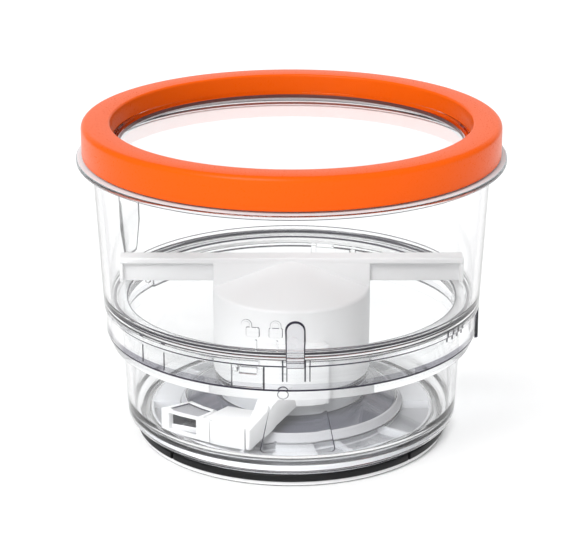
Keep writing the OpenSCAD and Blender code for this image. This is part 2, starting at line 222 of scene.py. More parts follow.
def held(points, hold=0.25, stretch=6.0):
    """Adds points to the long straight stretches of a closed outline, so that its flats shade flat."""
    out = []
    for i, point in enumerate(points):
        here, after = Vector(point), Vector(points[(i + 1) % len(points)])
        length = (after - here).length
        out.append(point)
        if length > 4 * hold:
            count = int(length / stretch) + 1
            places = [hold / length] + [k / count for k in range(1, count)] + [1 - hold / length]
            out += [tuple(here.lerp(after, place)) for place in places]
    return out


def lathe(bm, outline, start=0.0, sweep=360.0):
    """Adds a turned solid from a closed outline of (radius, height) in mm, all round or over a sweep."""
    whole = sweep >= 360
    steps = TURN if whole else max(2, int(TURN * sweep / 360))
    columns = steps if whole else steps + 1
    rings = []
    for r, z in outline:
        if r < 1e-6:
            rings.append([bm.verts.new((0, 0, z * MM))] * columns)
        else:
            rings.append([bm.verts.new(at(start + sweep * i / steps, r, z)) for i in range(columns)])
    count = len(rings)
    for k in range(count):
        a, b = rings[k], rings[(k + 1) % count]
        for i in range(steps):
            j = (i + 1) % columns
            corners = list(dict.fromkeys((a[i], a[j], b[j], b[i])))
            if len(corners) > 2:
                bm.faces.new(corners)
    if not whole:
        bm.faces.new([ring[0] for ring in rings])
        bm.faces.new([ring[-1] for ring in reversed(rings)])


def lathe_mesh(name, outline):
    """A turned solid as a mesh of its own."""
    bm = bmesh.new()
    lathe(bm, outline)
    return finish_mesh(bm, name)


def at(az, r, z):
    """A point in metres at an angle from the front towards +X, from mm."""
    a = math.radians(az)
    return Vector((r * math.sin(a), -r * math.cos(a), z)) * MM


def prism(bm, lower, upper):
    """Adds a closed solid between two loops of points."""
    a = [bm.verts.new(p) for p in lower]
    b = [bm.verts.new(p) for p in upper]
    n = len(a)
    bm.faces.new(a)
    bm.faces.new(list(reversed(b)))
    for i in range(n):
        j = (i + 1) % n
        bm.faces.new((a[j], a[i], b[i], b[j]))


def finish_mesh(bm, name, bevel=0.0, segments=2):
    """Turns a bmesh of closed solids into a mesh, with its edges rounded by bevel in mm."""
    bmesh.ops.recalc_face_normals(bm, faces=bm.faces)
    if bevel:
        edges = [e for e in bm.edges if e.is_manifold and e.calc_face_angle(0) > math.radians(25)]
        bmesh.ops.bevel(bm, geom=edges, offset=bevel * MM, segments=segments, profile=0.5, affect="EDGES",
                        clamp_overlap=True)
    mesh = bpy.data.meshes.new(name)
    bm.to_mesh(mesh)
    bm.free()
    return mesh


def arc_block(bm, r0, r1, z0, z1, middle, width, steps=8):
    """Adds part of a ring, width degrees wide, about an angle from the front."""
    angles = [middle - width / 2 + width * i / steps for i in range(steps + 1)]
    loop = [(a, r1) for a in angles] + [(a, r0) for a in reversed(angles)]
    prism(bm, [at(a, r, z0) for a, r in loop], [at(a, r, z1) for a, r in loop])


def slab(bm, points, z0, z1):
    """Adds a flat-topped solid over (angle from the front, radius) points."""
    prism(bm, [at(a, r, z0) for a, r in points], [at(a, r, z1) for a, r in points])


def wall(bm, points, thick, z0, z1):
    """Adds a wall whose outside follows (angle from the front, radius) points."""
    slab(bm, points + [(a, r - thick) for a, r in reversed(points)], z0, z1)


def box(bm, lo, hi):
    """Adds a box between two corners in mm."""
    flat = [(lo[0], lo[1]), (hi[0], lo[1]), (hi[0], hi[1]), (lo[0], hi[1])]
    prism(bm, [Vector((x, y, lo[2])) * MM for x, y in flat], [Vector((x, y, hi[2])) * MM for x, y in flat])


def relief(bm, outline, az, z, r, thick, slope=0.0):
    """Adds a flat outline, in mm, that stands off a wall of radius r, bent round it. Its sides can slope."""
    middle_x = sum(x for x, _ in outline) / len(outline)
    middle_y = sum(y for _, y in outline) / len(outline)

    def place(depth, spread):
        points = []
        for x, y in outline:
            away = math.hypot(x - middle_x, y - middle_y)
            grown = 1 + spread / away
            points.append(at(az + math.degrees((middle_x + (x - middle_x) * grown) / r), r + depth,
                             z + middle_y + (y - middle_y) * grown))
        return points
    prism(bm, place(-0.5, slope), place(thick, 0))


def joined(name, mesh, add=None, cut=None):
    """The mesh with solids joined on and others cut away, as one closed surface."""
    work = bpy.data.objects.new(name, mesh)
    helpers = [work]
    bpy.context.collection.objects.link(work)
    for operation, other in (("UNION", add), ("DIFFERENCE", cut)):
        if other is None:
            continue
        helper = bpy.data.objects.new(name + "_helper", other)
        bpy.context.collection.objects.link(helper)
        helpers.append(helper)
        boolean = work.modifiers.new(operation, "BOOLEAN")
        boolean.operation = operation
        boolean.solver = "EXACT"
        boolean.object = helper
        boolean.use_self = operation == "UNION"
    bpy.context.view_layer.update()
    result = bpy.data.meshes.new_from_object(work.evaluated_get(bpy.context.evaluated_depsgraph_get()))
    for helper in helpers:
        bpy.data.objects.remove(helper)
    result.name = name
    return result


def tint(mesh, material, inside):
    """Gives a second material to the faces that a test picks out by radius and height in mm, angle from the
    front, and how far the face looks outwards."""
    mesh.materials.append(material)
    for polygon in mesh.polygons:
        x, y, z = polygon.center / MM
        r = math.hypot(x, y)
        outwards = (polygon.normal.x * x + polygon.normal.y * y) / max(r, 1e-6)
        if inside(r, z, math.degrees(math.atan2(x, -y)) % 360, outwards):
            polygon.material_index = len(mesh.materials) - 1


def between(low_value, value, high_value):
    """Whether a value lies in a range."""
    return low_value <= value <= high_value


def circle(r, count=20, sweep=2 * math.pi, ends=0):
    """Points on a circle, counted from its right-hand side. ends adds the last point of an open arc."""
    return [(r * math.cos(sweep * i / count), r * math.sin(sweep * i / count)) for i in range(count + ends)]


# ---------------------------------------------------------------- materials

def material(name):
    """A new material with its Principled shader and output."""
    m = bpy.data.materials.new(name)
    m.use_nodes = True
    nodes = m.node_tree.nodes
    return m, nodes, m.node_tree.links, nodes["Principled BSDF"]


def noise(nodes, links, scale, detail=3.0, roughness=0.5):
    """A noise texture in object space, in cells a metre."""
    place = nodes.new("ShaderNodeTexCoord")
    texture = nodes.new("ShaderNodeTexNoise")
    texture.inputs["Scale"].default_value = scale
    texture.inputs["Detail"].default_value = detail
    texture.inputs["Roughness"].default_value = roughness
    links.new(place.outputs["Object"], texture.inputs["Vector"])
    return texture


def spread(nodes, links, source, low_value, high_value):
    """Maps a 0 to 1 value onto a range."""
    ramp = nodes.new("ShaderNodeMapRange")
    ramp.inputs["From Min"].default_value = 0.3
    ramp.inputs["From Max"].default_value = 0.7
    ramp.inputs["To Min"].default_value = low_value
    ramp.inputs["To Max"].default_value = high_value
    links.new(source, ramp.inputs["Value"])
    return ramp.outputs["Result"]


def add_bump(nodes, links, shader, source, strength, depth_mm):
    """Bump from a height value."""
    bump = nodes.new("ShaderNodeBump")
    bump.inputs["Strength"].default_value = strength
    bump.inputs["Distance"].default_value = depth_mm * MM
    links.new(source, bump.inputs["Height"])
    links.new(bump.outputs["Normal"], shader.inputs["Normal"])


def moulded(name, colour, rough, grain=900.0, depth=0.02, tone=0.04, gloss=0.5):
    """Moulded plastic: fine grain, slow tone changes and slightly uneven gloss."""
    m, nodes, links, shader = material(name)
    slow = noise(nodes, links, 35.0, 2.0)
    fine = noise(nodes, links, grain, 4.0, 0.6)
    mix = nodes.new("ShaderNodeMix")
    mix.data_type = "RGBA"
    mix.inputs["A"].default_value = (*[c * (1 - tone) for c in colour], 1)
    mix.inputs["B"].default_value = (*colour, 1)
    links.new(slow.outputs["Fac"], mix.inputs["Factor"])
    links.new(mix.outputs["Result"], shader.inputs["Base Color"])
    gloss_range = spread(nodes, links, fine.outputs["Fac"], rough * 0.85, rough * 1.15)
    links.new(gloss_range, shader.inputs["Roughness"])
    shader.inputs["Specular IOR Level"].default_value = gloss
    add_bump(nodes, links, shader, fine.outputs["Fac"], 0.25, depth)
    return m


def clear(name, tint, rough=0.0, ior=1.49, uneven=0.004):
    """Clear plastic, polished, with the slight waviness of a moulding, greyer where the eye looks along it.
    Lamps reach what is inside."""
    m, nodes, links, shader = material(name)
    facing = nodes.new("ShaderNodeLayerWeight")
    ramp = nodes.new("ShaderNodeValToRGB")
    ramp.color_ramp.elements[0].position = 0.62
    ramp.color_ramp.elements[0].color = (*tint, 1)
    ramp.color_ramp.elements[1].position = 1.0
    ramp.color_ramp.elements[1].color = (0.3, 0.29, 0.34, 1)
    ramp.color_ramp.elements.new(0.85).color = (0.8, 0.8, 0.82, 1)
    links.new(facing.outputs["Facing"], ramp.inputs["Fac"])
    links.new(ramp.outputs["Color"], shader.inputs["Base Color"])
    shader.inputs["Transmission Weight"].default_value = 1.0
    shader.inputs["IOR"].default_value = ior
    wave = noise(nodes, links, 60.0, 2.0)
    links.new(spread(nodes, links, wave.outputs["Fac"], rough, rough + 0.015), shader.inputs["Roughness"])
    add_bump(nodes, links, shader, wave.outputs["Fac"], 0.05, uneven)
    path = nodes.new("ShaderNodeLightPath")
    through = nodes.new("ShaderNodeBsdfTransparent")
    through.inputs["Color"].default_value = (*tint, 1)
    mix = nodes.new("ShaderNodeMixShader")
    links.new(path.outputs["Is Shadow Ray"], mix.inputs["Fac"])
    links.new(shader.outputs["BSDF"], mix.inputs[1])
    links.new(through.outputs["BSDF"], mix.inputs[2])
    links.new(mix.outputs["Shader"], nodes["Material Output"].inputs["Surface"])
    return m


def brushed(name, colour, rough):
    """Ground steel."""
    m, nodes, links, shader = material(name)
    shader.inputs["Metallic"].default_value = 1.0
    fine = noise(nodes, links, 1500.0, 3.0)
    shader.inputs["Base Color"].default_value = (*colour, 1)
    links.new(spread(nodes, links, fine.outputs["Fac"], rough * 0.7, rough * 1.3), shader.inputs["Roughness"])
    add_bump(nodes, links, shader, fine.outputs["Fac"], 0.15, 0.01)
    return m


ORANGE = moulded("orange_plastic", (0.82, 0.1, 0.0008), 0.3, grain=1400, depth=0.004, tone=0.03, gloss=0.13)
WHITE = moulded("white_plastic", (0.8, 0.8, 0.805), 0.4, grain=1100, depth=0.012, tone=0.015)
# Dark brown for the side of the window's rim: painted shade, the orange ring's inner edge in shadow.
RIM_SHADE = moulded("window_rim_painted_shade", (0.13, 0.05, 0.045), 0.3, grain=1500, depth=0.004, tone=0.1, gloss=0.2)
# Mid grey for painted shade: the insert's plate and drum side, and the floor of the scoop's hollow.
SHADE_GREY = moulded("painted_shade_grey", (0.36, 0.36, 0.38), 0.5, grain=1100, depth=0.012, tone=0.05)
# Dark blue-grey for the drum's top: painted shade under the hub and scraper.
DRUM_SHADE = moulded("drum_painted_shade", (0.12, 0.12, 0.15), 0.45, grain=1100, depth=0.012, tone=0.05)
INSERT = moulded("insert_plastic", (0.66, 0.66, 0.68), 0.5, grain=1100, depth=0.012, tone=0.03)
RUBBER = moulded("black_rubber", (0.006, 0.006, 0.007), 0.45, grain=2500, depth=0.02, tone=0.3, gloss=0.25)
BLACK = moulded("black_plastic", (0.012, 0.012, 0.013), 0.4, grain=1500, depth=0.02, tone=0.2)
BEARING = moulded("bearing_plastic", (0.62, 0.58, 0.42), 0.45, grain=1500, depth=0.01, tone=0.05)
STEEL = brushed("steel", (0.62, 0.63, 0.65), 0.3)
CLEAR = clear("clear_plastic", (0.985, 0.99, 0.992))
# Opaque near-black: painted dark reflection lines on the clear mouldings, and painted shade in the scoop's
# hollow.
PAINTED_DARK = moulded("painted_dark_lines_and_shade", (0.03, 0.027, 0.042), 0.3, grain=1500, depth=0.004, tone=0.1, gloss=0.2)
HAZE = clear("clear_plastic_haze", (0.66, 0.66, 0.69), rough=0.05)
# Two darker greys for the skirt's hem towards its sides: painted shade.
HEM_SHADE = clear("clear_plastic_hem_painted_shade", (0.42, 0.42, 0.46), rough=0.05)
HEM_DEEP_SHADE = clear("clear_plastic_hem_painted_deep_shade", (0.16, 0.155, 0.19), rough=0.05)
WINDOW = clear("window_plastic", (0.99, 0.99, 0.992), ior=1.15)
SILICONE = moulded("clear_silicone", (0.8, 0.8, 0.8), 0.5, grain=1800, depth=0.01, tone=0.03, gloss=0.2)
FROST = moulded("frosted_plastic", (0.52, 0.52, 0.54), 0.5, grain=1800, depth=0.01, tone=0.03, gloss=0.2)
MILKY = moulded("milky_plastic", (0.8, 0.8, 0.81), 0.4, grain=1800, depth=0.01, tone=0.02, gloss=0.2)
RIM_MILKY = moulded("rim_plastic", (0.72, 0.81, 0.84), 0.4, grain=1800, depth=0.01, tone=0.02, gloss=0.2)


# ---------------------------------------------------------------- lid

def lid_ring():
    """Orange ring: a top and skirt over the bowl's rim, and a seat for the window, pale on its inside."""
    outline = rounded(
        [(LID_IN_R, LID_LOW), (LID_R, LID_LOW), (LID_R, LID_TOP), (LID_HOLE_R, LID_TOP),
         (WINDOW_R, WINDOW_TOP), (WINDOW_R, WINDOW_LOW), (LID_SEAT_R, WINDOW_LOW),
         (LID_SEAT_R, WINDOW_LOW - 1), (LID_CHANNEL_R, WINDOW_LOW - 1), (LID_CHANNEL_R, LID_TOP - LID_T),
         (LID_IN_R, LID_TOP - LID_T)],
        [0.4, 0.6, 2.0, 0.9, 0.1, 0.1, 0.3, 0.3, 0.3, 0.8, 0.8], steps=6)
    mesh = lathe_mesh("lid_ring_moulding", outline)
    new_object("lid_ring_moulding", mesh, "lid", ["lid_ring"], ORANGE)
    tint(mesh, MILKY, lambda r, z, az, outwards: r < LID_SEAT_R + 0.15 and z < WINDOW_LOW)


def lid_window():
    """Clear disc with a raised lip against the orange ring. The side of its rim is painted dark brown,
    painted shade for the ring's inner edge in shadow seen through the pane.
    """
    edge = WINDOW_R - 0.05
    lip_top = WINDOW_TOP + 0.8
    pane = WINDOW_TOP - PANE_DROP
    outline = [(0, WINDOW_LOW)] + rounded(
        [(edge - 1, WINDOW_LOW), (edge, WINDOW_LOW), (edge, lip_top), (edge - 0.7, lip_top),
         (edge - 1.2, WINDOW_TOP), (LIP_R, WINDOW_TOP), (LIP_R, pane)], [0, 0.3, 0.2, 0.2, 0.2, 0.15, 0.1], 4)
    outline.append((0, pane))
    mesh = lathe_mesh("lid_window_disc", held(outline))
    new_object("lid_window_disc", mesh, "lid", ["lid_window"], WINDOW)
    # Painted shade: the rim's side is dark brown for the ring's edge in shadow.
    tint(mesh, RIM_SHADE, lambda r, z, az, outwards: (between(LIP_R - 0.1, r, LIP_R + 0.1)
                                                and between(pane, z, WINDOW_TOP)))


# ---------------------------------------------------------------- bowl and cup

def arch(half_width, low_end, high_end):
    """Outline of an upright tab with a round top."""
    centre = high_end - half_width
    top_turn = [(x, centre + y) for x, y in circle(half_width, 10, math.pi, 1)]
    return [(half_width, low_end)] + top_turn + [(-half_width, low_end)]


def padlock(bm, az, z, hooked):
    """Adds a padlock symbol in relief: a body and a shackle, which is open on one side when not hooked."""
    r = bowl_r(z)
    body = rounded([(-2.3, -1.9), (2.3, -1.9), (2.3, 1.6), (-2.3, 1.6)], [0.5] * 4, 3)
    relief(bm, body, az, z, r, 0.4, 0.45)
    shift = 0.0 if hooked else -2.2
    foot = 1.2 if hooked else 2.6
    outside = circle(1.9, 10, math.pi, 1)
    inside = circle(1.15, 10, math.pi, 1)[::-1]
    ends = [(-1.9, foot - 2.7), (-1.15, foot - 2.7)]
    outline = outside + ends + inside + [(1.15, -1.6), (1.9, -1.6)]
    relief(bm, [(x + shift, y + 2.6) for x, y in outline], az, z, r, 0.4, 0.3)


def bowl_details():
    """What stands out from the bowl's turned shell: shelves, tab, symbols, thin ribs, panel and lug."""
    bm = bmesh.new()
    for az in LOCKS:
        arc_block(bm, CUP_R + 0.8, SKIRT_IN_R + 0.5, SHELF_LOW, SHELF_TOP, az, 5.4)
        arc_block(bm, CUP_FLANGE_R + 0.5, SKIRT_IN_R + 0.4, SKIRT_LOW + 4.5, SHELF_TOP - 0.1, az, 9)
    relief(bm, arch(3.0, -8.0, 9.0), TAB_AZ, 61.5, bowl_r(61.5), 1.5, 1.1)
    padlock(bm, -10.8, 66.6, False)
    padlock(bm, -4.4, 66.6, True)
    line = [(-0.3, -2), (0.3, -2), (0.3, 2), (-0.3, 2)]
    for az in (-9.9, -4.0):
        relief(bm, line, az, 61.3, bowl_r(61.3), 0.4, 0.4)
    for az, low_z, high_z, width in SKIRT_LINES:
        arc_block(bm, SKIRT_IN_R - 0.35, SKIRT_IN_R + 0.5, low_z, high_z, az, width, 1)
    panel = rounded([(-5.5, -24), (4.5, -24), (8, -12), (8, 22), (-8, 22), (-8, -12)], [2, 2, 3, 2, 2, 3], 4)
    relief(bm, panel, PANEL_AZ, 85.0, bowl_r(85.0) + 0.5, 0.5, 1.0)
    lug = rounded([(-6, -6), (6, -6), (6, 6), (-6, 6)], [1.5] * 4, 4)
    relief(bm, lug, LUG_AZ, 46.5, SKIRT_R, 0.8, 0.5)
    return finish_mesh(bm, "bowl_details", bevel=0.22)


def near(az, middle, reach):
    """Whether an angle lies within reach of another one."""
    return abs((az - middle + 180) % 360 - 180) < reach


def bowl_painted_dark(r, z, az, outwards):
    """Corners of the moulding and the sides of what stands out from it, painted near-black as painted dark
    reflections in the clear plastic.
    """
    off_tab = not (az > 358.0 or az < 4.0)
    riser = between(LEDGE_STEP_R - 0.5, r, LEDGE_STEP_R + 0.5) and between(LEDGE, z, LEDGE + 1.09)
    corner = between(70.9, r, 71.3) and between(LEDGE + 2.35, z, LEDGE + 2.55)
    step_top = r < LEDGE_STEP_R + 0.8 and between(LEDGE + 1.05, z, LEDGE + 1.2) and not between(100, az, 260)
    ledge_end = between(63.5, r, 64.55) and between(LEDGE - 0.5, z, LEDGE + 0.01)
    shoulder = between(72.6, r, 73.6) and between(SHOULDER + 0.3, z, SHOULDER + 0.9)
    skirt = r > SKIRT_R - 0.25 and between(SKIRT_LOW + 4.0, z, SKIRT_LOW + 4.8)
    flange = r > FLANGE_R - 0.5 and between(FLANGE_LOW, z, FLANGE_LOW + 0.5)
    raised = r > max(bowl_r(z), SKIRT_R) + 0.03 and between(41.0, z, 73.0) and (az > 340 or az < 10)
    on_panel = r > bowl_r(z) + 0.1 and between(58.0, z, 108.5) and near(az, PANEL_AZ, 9.5)
    on_lug = r > SKIRT_R + 0.03 and between(39.5, z, 53.5) and near(az, LUG_AZ, 7)
    ribs = between(SKIRT_IN_R - 0.4, r, SKIRT_IN_R - 0.02) and between(42.0, z, 54.9) and any(
        near(az, line, width / 2 + 0.02) for line, _, _, width in SKIRT_LINES)
    return (off_tab and (riser or corner or step_top or ledge_end or shoulder) or skirt or flange or ribs
            or raised and abs(outwards) < 0.87 or on_panel and abs(outwards) < 0.8
            or on_lug and abs(outwards) < 0.85)


def hem(r, z):
    """The lowest upright part of the skirt's outside."""
    return r > SKIRT_R - 0.1 and between(SKIRT_LOW + 4.8, z, SKIRT_LOW + 7.1)


def tab_face(r, z, az, outwards):
    """The front of the tab."""
    return r > bowl_r(z) + 1.2 and outwards > 0.95 and between(54.0, z, 69.5) and (az > 357.5 or az < 4.5)


def bowl():
    """Clear upper bowl: rim, flange, wall, ledge with a step, and the locking skirt."""
    outline = rounded(
        [(RIM_R, FLANGE_LOW), (FLANGE_R, FLANGE_LOW), (FLANGE_R, FLANGE_TOP), (RIM_R, FLANGE_TOP),
         (RIM_R, RIM_TOP), (RIM_R - WALL, RIM_TOP), (RIM_R - WALL, FLANGE_LOW - 2),
         (BOWL_LOW_R - WALL + 0.1, LEDGE + 2.6), (BOWL_LOW_R - WALL, LEDGE + 2.3),
         (BOWL_LOW_R - WALL, LEDGE + 1.25), (LEDGE_STEP_R + 0.8, LEDGE + 1.15),
         (LEDGE_STEP_R - 0.4, LEDGE + 1.1), (LEDGE_STEP_R + 0.4, LEDGE),
         (LEDGE_IN_R, LEDGE), (LEDGE_IN_R, LEDGE_LOW), (SKIRT_IN_R, LEDGE_LOW),
         (SKIRT_IN_R, SKIRT_LOW), (SKIRT_R - 1.8, SKIRT_LOW), (SKIRT_R, SKIRT_LOW + 4.4),
         (SKIRT_R, SKIRT_LOW + 7.0), (SKIRT_R, SHOULDER), (BOWL_LOW_R, SHOULDER + 0.8)],
        [0.8, 0.6, 0.6, 0.4, 0.7, 0.7, 0.3, 0, 0, 0.9, 0, 0.1, 0.1, 0.5, 0.5, 0.6, 0.3, 0.3, 0.8, 0, 0.3,
         0.3], 5)
    mesh = joined("bowl_shell", lathe_mesh("bowl_turned", held(outline)), add=bowl_details())
    new_object("bowl_shell", mesh, "bowl", ["bowl"], CLEAR)
    tint(mesh, RIM_MILKY, lambda r, z, az, outwards: (between(RIM_R + 0.3, r, FLANGE_R - 0.3)
                                                      and between(FLANGE_TOP - 0.05, z, FLANGE_TOP + 0.05)))
    tint(mesh, HAZE, lambda r, z, az, outwards: hem(r, z) or tab_face(r, z, az, outwards))
    # Painted shade: the hem grows darker in two steps towards its left and right sides.
    tint(mesh, HEM_SHADE, lambda r, z, az, outwards: hem(r, z) and (between(24, az, 90) or between(274, az, 334)))
    tint(mesh, HEM_DEEP_SHADE, lambda r, z, az, outwards: hem(r, z) and (between(38, az, 82) or between(282, az, 320)))
    # Painted dark reflections: corners and raised sides of the bowl are drawn near-black.
    tint(mesh, PAINTED_DARK, bowl_painted_dark)


def cup_details():
    """What stands out from the cup's turned shell: stops under the flange, the grip panel and a dot."""
    bm = bmesh.new()
    for az in LOCKS:
        for edge in (az - 4.3, az + UNLOCK + 4.3):
            arc_block(bm, CUP_R - 1, CUP_FLANGE_R - 0.4, SHELF_LOW, CUP_UNDER + 0.5, edge, 1.8, 2)
    panel = [(-13.7, -10.4), (13.7, -10.4), (9.7, 10.6), (-9.7, 10.6)]
    relief(bm, rounded(panel, [1.2] * 4, 4), 2.0, 26.4, cup_r(26), 0.45, 0.9)
    relief(bm, circle(1.8), -2.7, 41.0, cup_r(41), 0.6, 0.6)
    return finish_mesh(bm, "cup_details", bevel=0.15)


def cup_notches():
    """The notches in the cup's flange that let the bowl's shelves through."""
    bm = bmesh.new()
    for az in LOCKS:
        arc_block(bm, CUP_R + 0.4, CUP_FLANGE_R + 1, CUP_UNDER - 1, CUP_TOP + 1, az + UNLOCK, NOTCH, 8)
    return finish_mesh(bm, "cup_notches")


def cup():
    """Clear lower cup: foot with a groove, wall, flange, floor with a shallow cone, and the centre column."""
    inner_low, inner_column = COLUMN_FOOT_R - FLOOR_T, COLUMN_R - FLOOR_T
    outline = rounded(
        [(FOOT_IN_R, 0), (FOOT_R, 0), (FOOT_R, GROOVE_LOW), (GROOVE_R, GROOVE_LOW), (GROOVE_R, GROOVE_TOP),
         (FOOT_TOP_R, GROOVE_TOP), (CUP_LOW_R, FLOOR_UNDER), (cup_r(CUP_UNDER), CUP_UNDER),
         (CUP_FLANGE_R, CUP_UNDER), (CUP_FLANGE_R, CUP_TOP), (CUP_R - WALL, CUP_TOP),
         (CUP_LOW_R - WALL, FLOOR), (CONE_R + 1.2, FLOOR), (CONE_R, CONE_LOW), (COLUMN_FOOT_R, CONE_TOP),
         (COLUMN_FOOT_R, COLUMN_STEP),
         (COLUMN_R, COLUMN_STEP), (COLUMN_R, COLUMN_TOP), (SEAL_BORE_R, COLUMN_TOP),
         (SEAL_BORE_R, COLUMN_TOP - FLOOR_T), (inner_column, COLUMN_TOP - FLOOR_T),
         (inner_column, COLUMN_STEP - FLOOR_T), (inner_low, COLUMN_STEP - FLOOR_T),
         (inner_low, CONE_TOP - 2.3), (CONE_R - 1, CONE_LOW - 2.3), (CONE_R - 1, FLOOR_UNDER),
         (FOOT_IN_R, FLOOR_UNDER)],
        [0.4, 0.4, 0.2, 0.2, 0.3, 0.6, 4.0, 0.6, 0.5, 0.4, 0.4, 5.2, 1.2, 0.7, 0.6, 0.8, 0.2, 1.5, 0.2, 0.2,
         1.0, 0.4, 0.6, 0.4, 0.4, 0.3, 1.2], 5)
    mesh = joined("cup_shell", lathe_mesh("cup_turned", held(outline)), add=cup_details(), cut=cup_notches())
    new_object("cup_shell", mesh, "cup", ["cup"], CLEAR)
    tint(mesh, FROST, lambda r, z, az, outwards: (between(CONE_R - 0.5, r, CONE_R + 1.3)
                                                  and between(FLOOR + 0.1, z, CONE_LOW + 0.2)))
    tint(mesh, MILKY, lambda r, z, az, outwards: r > FOOT_R - 0.3 and between(0.45, z, GROOVE_LOW - 0.05))
    # Painted dark reflections on the sides of the grip panel and the dot.
    tint(mesh, PAINTED_DARK, lambda r, z, az, outwards: (r > cup_r(z) + 0.02 and abs(outwards) < 0.85
                                                 and between(14, z, 44) and (az > 330 or az < 30)))


def foot_seal():
    """The band round the foot, in lengths between four small notches."""
    outline = rounded([(GROOVE_R, 1.9), (61.4, 1.9), (61.4, 5.0), (GROOVE_R, 5.0)], [0, 0.7, 0.7, 0], 5)
    notches = (-133.0, -48.0, 47.0, 132.0)
    bm = bmesh.new()
    for here, after in zip(notches, notches[1:] + (notches[0] + 360,)):
        lathe(bm, outline, here + 0.7, after - here - 1.4)
    new_object("foot_band", finish_mesh(bm, "foot_band"), "cup", ["foot_seal"], RUBBER)


def base_insert():
    """White moulding under the clear floor: drum, plate, ribs, raised sectors and a ramp at the front. The
    drum's top and the plate are painted darker as painted shade.
    """
    plate = top("foot_seal") - 0.1
    ledge = FLOOR_UNDER - 0.15
    under = low("base_insert")
    outline = rounded(
        [(MOUTH_R, under), (PLATE_R, under), (PLATE_R, plate), (DRUM_R, plate), (DRUM_R, DRUM_TOP),
         (LINER_R + 1, LINER_TOP), (MOUTH_R, LINER_TOP), (MOUTH_R, LINER_TOP - 1.9),
         (LINER_R, LINER_TOP - 1.9), (DRUM_R - 2, DRUM_ROOF), (DRUM_R - 2, plate - 0.2),
         (MOUTH_R, plate - 0.2)],
        [0.3, 0.4, 0.4, 1.2, 1.0, 0.5, 0.3, 0.3, 0.5, 0.6, 0.6, 0.3], 5)
    bm = bmesh.new()
    lathe(bm, outline)
    for az in RIB_AZ:
        arc_block(bm, DRUM_R - 0.5, RIM_IN_R + 0.3, plate - 0.1, ledge, az, 1.6, 1)
    for az in SECTOR_AZ:
        arc_block(bm, DRUM_R - 0.4, RIM_IN_R + 0.5, plate - 0.1, ledge - 0.15, az, 36, 12)
    rim_r = PLATE_R - 0.1
    rim = [(RIM_IN_R, plate - 0.2), (rim_r, plate - 0.2), (rim_r, ledge), (RIM_IN_R, ledge)]
    lathe(bm, rounded(rim, [0, 0, 0.4, 0.4], 3))
    ramp = [(55.0, plate), (55.0, plate + 0.9), (DRUM_R + 1.2, ledge), (DRUM_R - 0.5, ledge),
            (DRUM_R - 0.5, plate)]
    prism(bm, [at(-8.0, r, z) for r, z in ramp], [at(11.0, r, z) for r, z in ramp])
    mesh = finish_mesh(bm, "base_insert_moulding", bevel=0.25)
    new_object("base_insert_moulding", mesh, "cup", ["base_insert"], INSERT)

    def plate_shade_face(r, z, az, outwards):
        """The plate's top between the ribs, and the drum's side, painted grey as painted shade."""
        flat = between(DRUM_R - 1.2, r, RIM_IN_R - 0.1) and between(plate - 0.1, z, plate + 0.1)
        return flat or between(DRUM_R - 0.4, r, DRUM_R + 0.2) and z > plate + 0.1 and outwards > 0.5

    # Painted shade: the drum's top is dark and the plate and drum side are grey, for the shade under the hub.
    tint(mesh, DRUM_SHADE, lambda r, z, az, outwards: (between(MOUTH_R + 0.5, r, DRUM_R - 0.4)
                                                 and between(plate + 0.4, z, 14.0)))
    tint(mesh, SHADE_GREY, plate_shade_face)


# ---------------------------------------------------------------- dasher

def hub():
    """White cap with a conical roof over the cup's column."""
    wall_t = 1.9
    outline = [(0.0, HUB_APEX)] + rounded(
        [(1.2, HUB_APEX - 0.2), (HUB_R, HUB_SHOULDER), (HUB_R, HUB_LOW), (HUB_R - wall_t, HUB_LOW),
         (HUB_R - wall_t, HUB_SHOULDER - wall_t), (1.2, HUB_APEX - wall_t)],
        [0.8, 1.6, 0.5, 0.3, 1.0, 0], 6)
    outline.append((0.0, HUB_APEX - wall_t))
    new_object("hub_cap", lathe_mesh("hub_cap", outline), "dasher", ["dasher_hub"], WHITE)


def mixing_arm():
    """Beam across the hub: a flange on a thin web, with a full block over the roof and closed ends."""
    under = ARM_TOP - ARM_FLANGE_T
    bm = bmesh.new()
    box(bm, (-ARM_HALF, -ARM_HALF_W, under), (ARM_HALF, ARM_HALF_W, ARM_TOP))
    box(bm, (-ARM_HALF + 0.1, -1.3, ARM_LOW), (ARM_HALF - 0.1, 1.3, under + 0.5))
    half_block = ARM_HALF_W - 0.02
    box(bm, (-HUB_R + 0.2, -half_block, HUB_SHOULDER + 0.2), (HUB_R - 0.2, half_block, under + 0.5))
    for side in (-1, 1):
        ends = sorted((side * (ARM_HALF - 0.05), side * (ARM_HALF - 1.5)))
        box(bm, (ends[0], -ARM_HALF_W + 0.3, ARM_LOW + 0.05), (ends[1], ARM_HALF_W - 0.3, under + 0.5))
    new_object("arm_beam", finish_mesh(bm, "arm_beam", bevel=0.35, segments=3), "dasher",
               ["mixing_arm"], WHITE)


